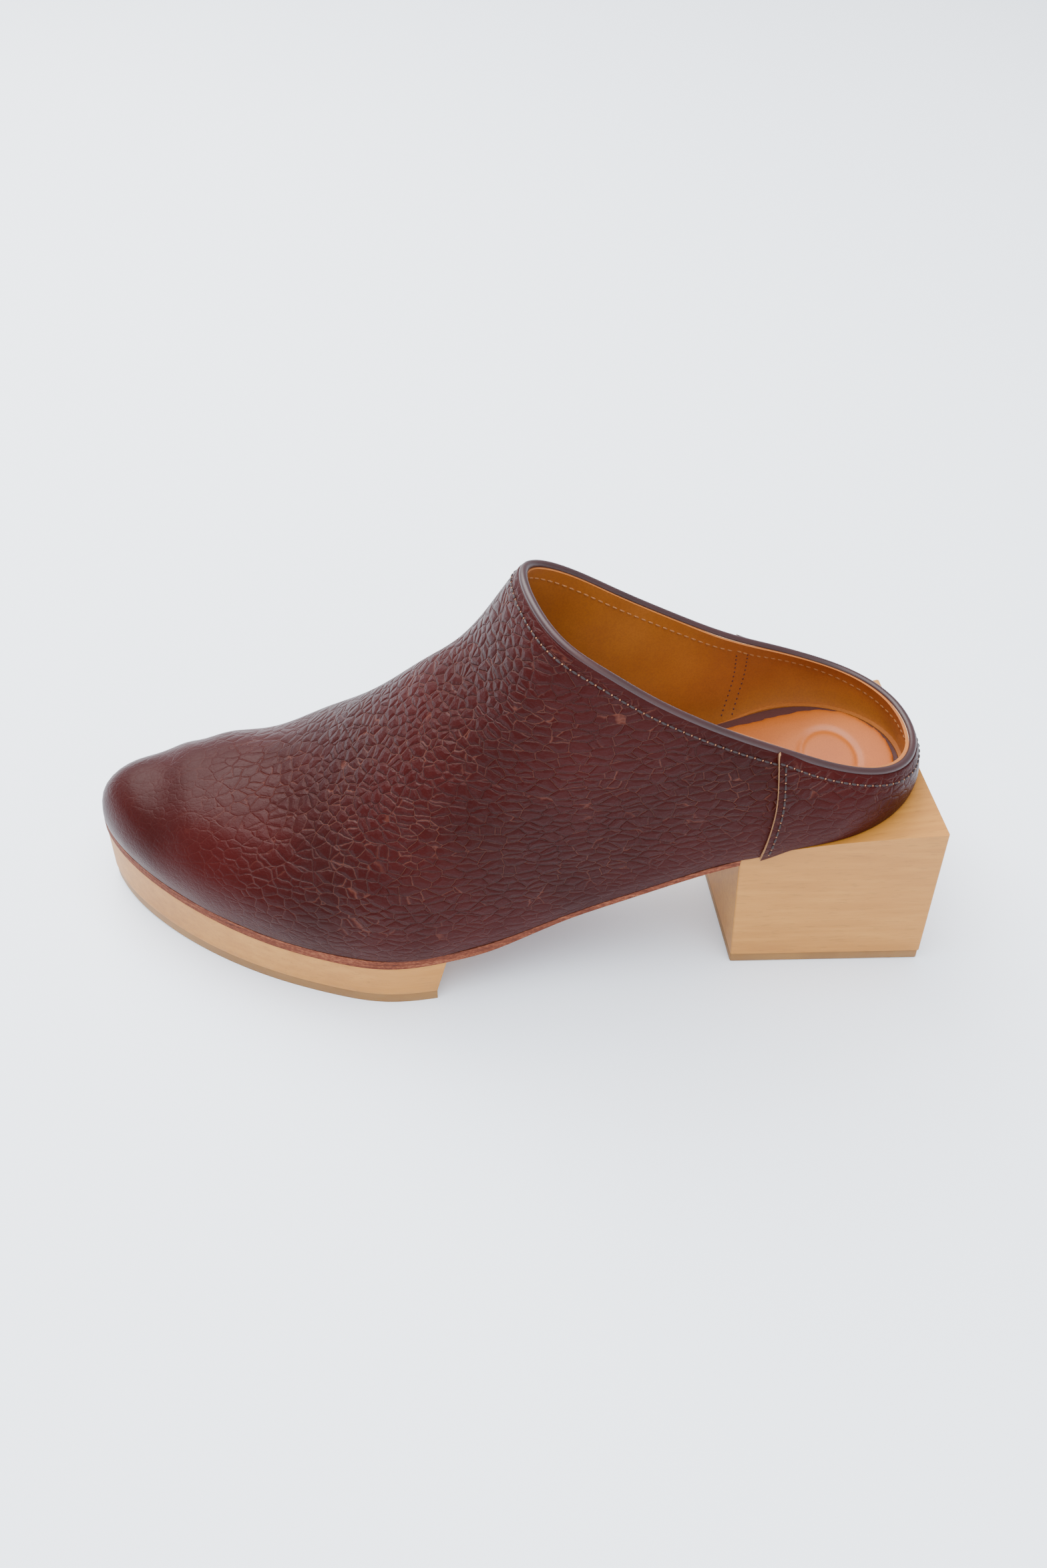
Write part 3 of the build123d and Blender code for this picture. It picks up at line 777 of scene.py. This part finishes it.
top_places = steps_along(top_line, PITCH, TOP_START) + steps_along(heel_line, PITCH, TOP_START)
mark_places = (between_stitches(top_line, PITCH, TOP_START)
               + between_stitches(heel_line, PITCH, TOP_START))
seam_places = [steps_along(line, PITCH, SEAM_START) for line in seam_lines]
mark_places += [place for line in seam_lines
                for place in between_stitches(line, PITCH, SEAM_START)]
sew("topline_thread", top_places, STITCH, SINK, "thread", ("topline_stitching",))
sew("outer_seam_thread", seam_places[0], STITCH, SINK, "thread",
    ("outer_seam_stitching",))
sew("inner_seam_thread", seam_places[1], STITCH, SINK, "thread",
    ("inner_seam_stitching",))
sew("needle_marks", mark_places, MARK, 0.0, "pricked")
linings = tree_of("vamp_lining", "heel_lining")
sew("lining_thread", against(linings, top_places, LINING_DEPTH), STITCH, 0.0, "lining_thread")
hole_places = []
for line in seam_lines:
    for shift in LINING_ROWS:
        moved = [(spot + Vector((shift, 0, 0)), normal) for spot, normal in line]
        hole_places += against(linings, steps_along(moved, LINING_PITCH, LINING_START),
                               LINING_DEPTH)
# The lining's needle holes are dark brown dots in the footbed leather's finish: painted shade
# inside the holes.
sew("lining_needle_hole_shade", hole_places, LINING_MARK, 0.0, "cover")


# ---- inside ----

def heel_pad():
    """The heel sock: a cupped leather pad over foam, its edge rounded over, with an oval
    pressed into it."""
    voxel, upward = 0.7 * MM, 0.3
    cup, settle, edge_share = 0.9, 0.4, 4
    oval_from_back, oval_size = 19.5 * MM, (8.5 * MM, 12 * MM)
    oval_depth, oval_softness = 0.55 * MM, 0.11
    ob = own_copy("heel_sock", "tan_heel_sock")
    foam = own_copy("sock_foam", "foam_copy")
    deselect()
    ob.select_set(True)
    foam.select_set(True)
    bpy.context.view_layer.objects.active = ob
    bpy.ops.object.join()
    finish_with(ob, "REMESH", mode="VOXEL", voxel_size=voxel)
    finish_with(ob, "SMOOTH", factor=0.5, iterations=10)
    low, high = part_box("heel_sock")
    centre = Vector(((low.x + high.x) / 2, (low.y + high.y) / 2))
    half_width = (high.y - low.y) / 2
    oval = Vector((low.x + oval_from_back, centre.y))
    for vert in ob.data.vertices:
        if vert.normal.z < upward:
            continue
        across = (vert.co.y - centre.y) / half_width
        vert.co.z += ((cup * across ** 2 - settle) * MM
                      * min(1.0, edge_share * (1 - abs(across))))
        ring = math.hypot((vert.co.x - oval.x) / oval_size[0], (vert.co.y - oval.y) / oval_size[1])
        vert.co.z -= oval_depth * math.exp(-((ring - 1) / oval_softness) ** 2)
    smooth(ob)
    put_on(ob, "heel_sock", slot="sock_leather", finishes=["sock"])


heel_pad()


# ---- sole and heel ----

def eased_edges(node, name, width, slot, finish):
    """A sawn or moulded part with its sharp edges sanded round."""
    ob = own_copy(node, name)
    finish_with(ob, "BEVEL", width=width, segments=2, limit_method="ANGLE",
                angle_limit=SHARP, use_clamp_overlap=True)
    smooth(ob, 30)
    put_on(ob, node, slot=slot, finishes=[finish])


WOOD_ROUND = 0.4 * MM
RUBBER_ROUND = 0.6 * MM
eased_edges("forefoot_platform", "alder_platform", WOOD_ROUND, "alder_wood", "wood")
eased_edges("heel_lift", "gum_heel_lift", RUBBER_ROUND, "gum_rubber", "rubber")
eased_edges("forefoot_outsole", "gum_forefoot_sole", RUBBER_ROUND, "gum_rubber", "rubber")

for spare in (vamp_face, quarter_face):
    bpy.data.objects.remove(spare)


# ---- the studio ----

def studio():
    deselect()
    bpy.ops.mesh.primitive_plane_add(size=6.0, location=(0, 0, 0))
    floor = bpy.context.object
    floor.name = "studio_floor"
    f = Finish("pale_studio_floor", roughness=0.7)
    f.link(f.ramp(f.noise(1.5, 2.0), (0.3, linear(240, 245, 252)), (0.7, linear(244, 249, 255))),
           "Base Color")
    floor.data.materials.append(f.material)

    world = bpy.data.worlds.new("studio_air")
    bpy.context.scene.world = world
    world.use_nodes = True
    sky = world.node_tree.nodes["Background"]
    sky.inputs["Color"].default_value = (0.80, 0.88, 1.0, 1)
    sky.inputs["Strength"].default_value = 1.15

    def softbox(name, place, aim, size, power, colour):
        bpy.ops.object.light_add(type="AREA", location=place)
        lamp = bpy.context.object
        lamp.name = name
        lamp.data.shape = "RECTANGLE"
        lamp.data.size, lamp.data.size_y = size
        lamp.data.energy = power
        lamp.data.color = colour
        lamp.rotation_euler = (Vector(aim) - Vector(place)).to_track_quat("-Z", "Y").to_euler()

    softbox("window_light", (0.5, -0.9, 1.1), (0, 0, 0.05), (1.2, 1.0), 36, (1.0, 0.99, 0.97))
    softbox("top_light", (0.1, 0.1, 1.4), (0, 0, 0), (1.6, 1.6), 50, (0.96, 0.98, 1.0))
    softbox("front_fill", (-0.3, 1.2, 0.7), (0, 0, 0.05), (1.4, 1.0), 10, (1.0, 0.98, 0.95))


def camera():
    data = bpy.data.cameras.new("camera")
    ob = bpy.data.objects.new("camera", data)
    bpy.context.scene.collection.objects.link(ob)
    data.sensor_fit = "VERTICAL"
    data.sensor_height = 36.0
    data.lens = 35.0
    data.clip_start = 0.01
    right = Vector((-0.9928742, 0.1190558, 0.0051515))
    up = Vector((-0.0770585, -0.6744093, 0.7343256))
    back = right.cross(up)
    turn = Matrix((right, up, back)).transposed().to_4x4()
    ob.matrix_world = Matrix.Translation((0.036748, 0.348400, 0.371615)) @ turn
    bpy.context.scene.camera = ob


studio()
camera()
